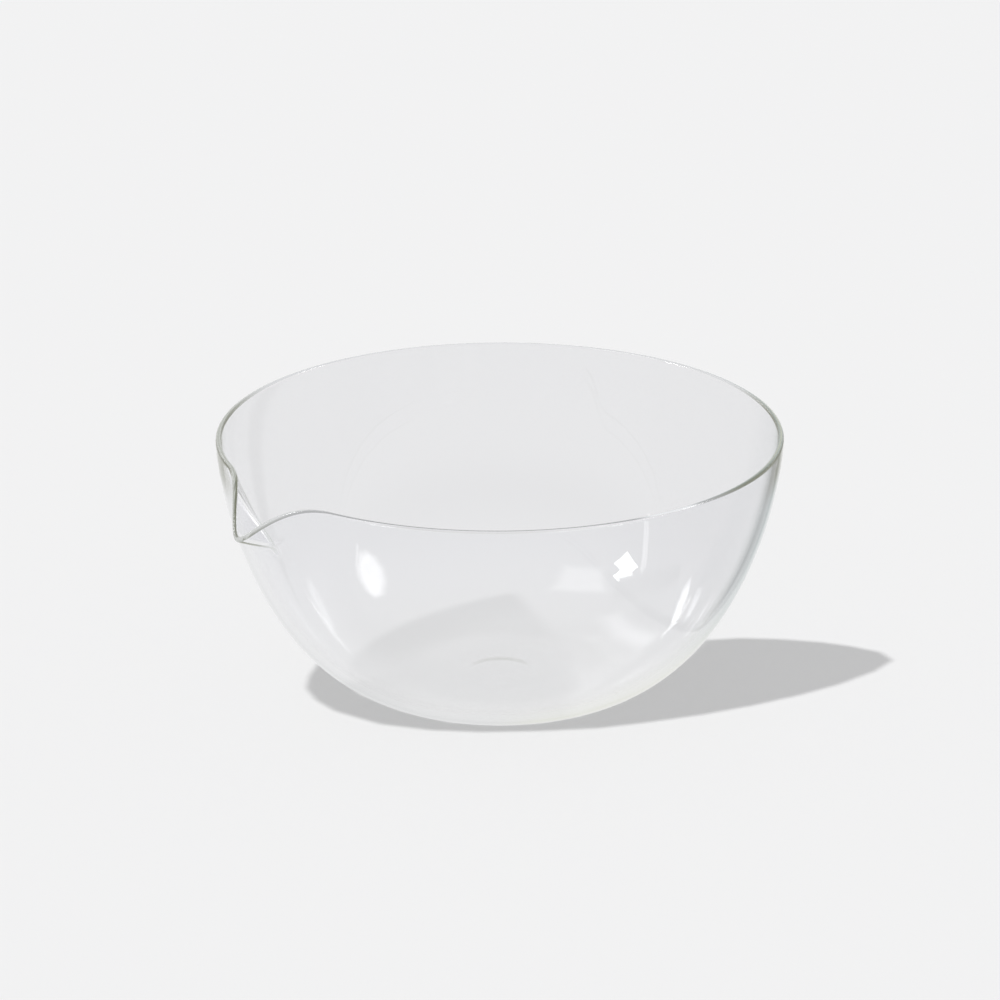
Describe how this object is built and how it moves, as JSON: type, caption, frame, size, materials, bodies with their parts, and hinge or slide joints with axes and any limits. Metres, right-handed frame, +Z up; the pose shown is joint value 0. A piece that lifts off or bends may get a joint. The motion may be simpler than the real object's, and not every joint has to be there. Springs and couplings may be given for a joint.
{
  "type": "batter bowl",
  "caption": "Small round clear glass mixing bowl with a pulled pouring lip, for mixing and pouring batter or sauce.",
  "frame": {"origin": "on the bowl's axis, in the plane of its foot", "axes": "+Z up along the bowl's axis, +X towards the tip of the pouring lip"},
  "size_m": [0.1455, 0.137, 0.065],
  "materials": {
    "clear_glass": "polished"
  },
  "bodies": {
    "root": {"bowl": "clear_glass"}
  },
  "joints": []
}
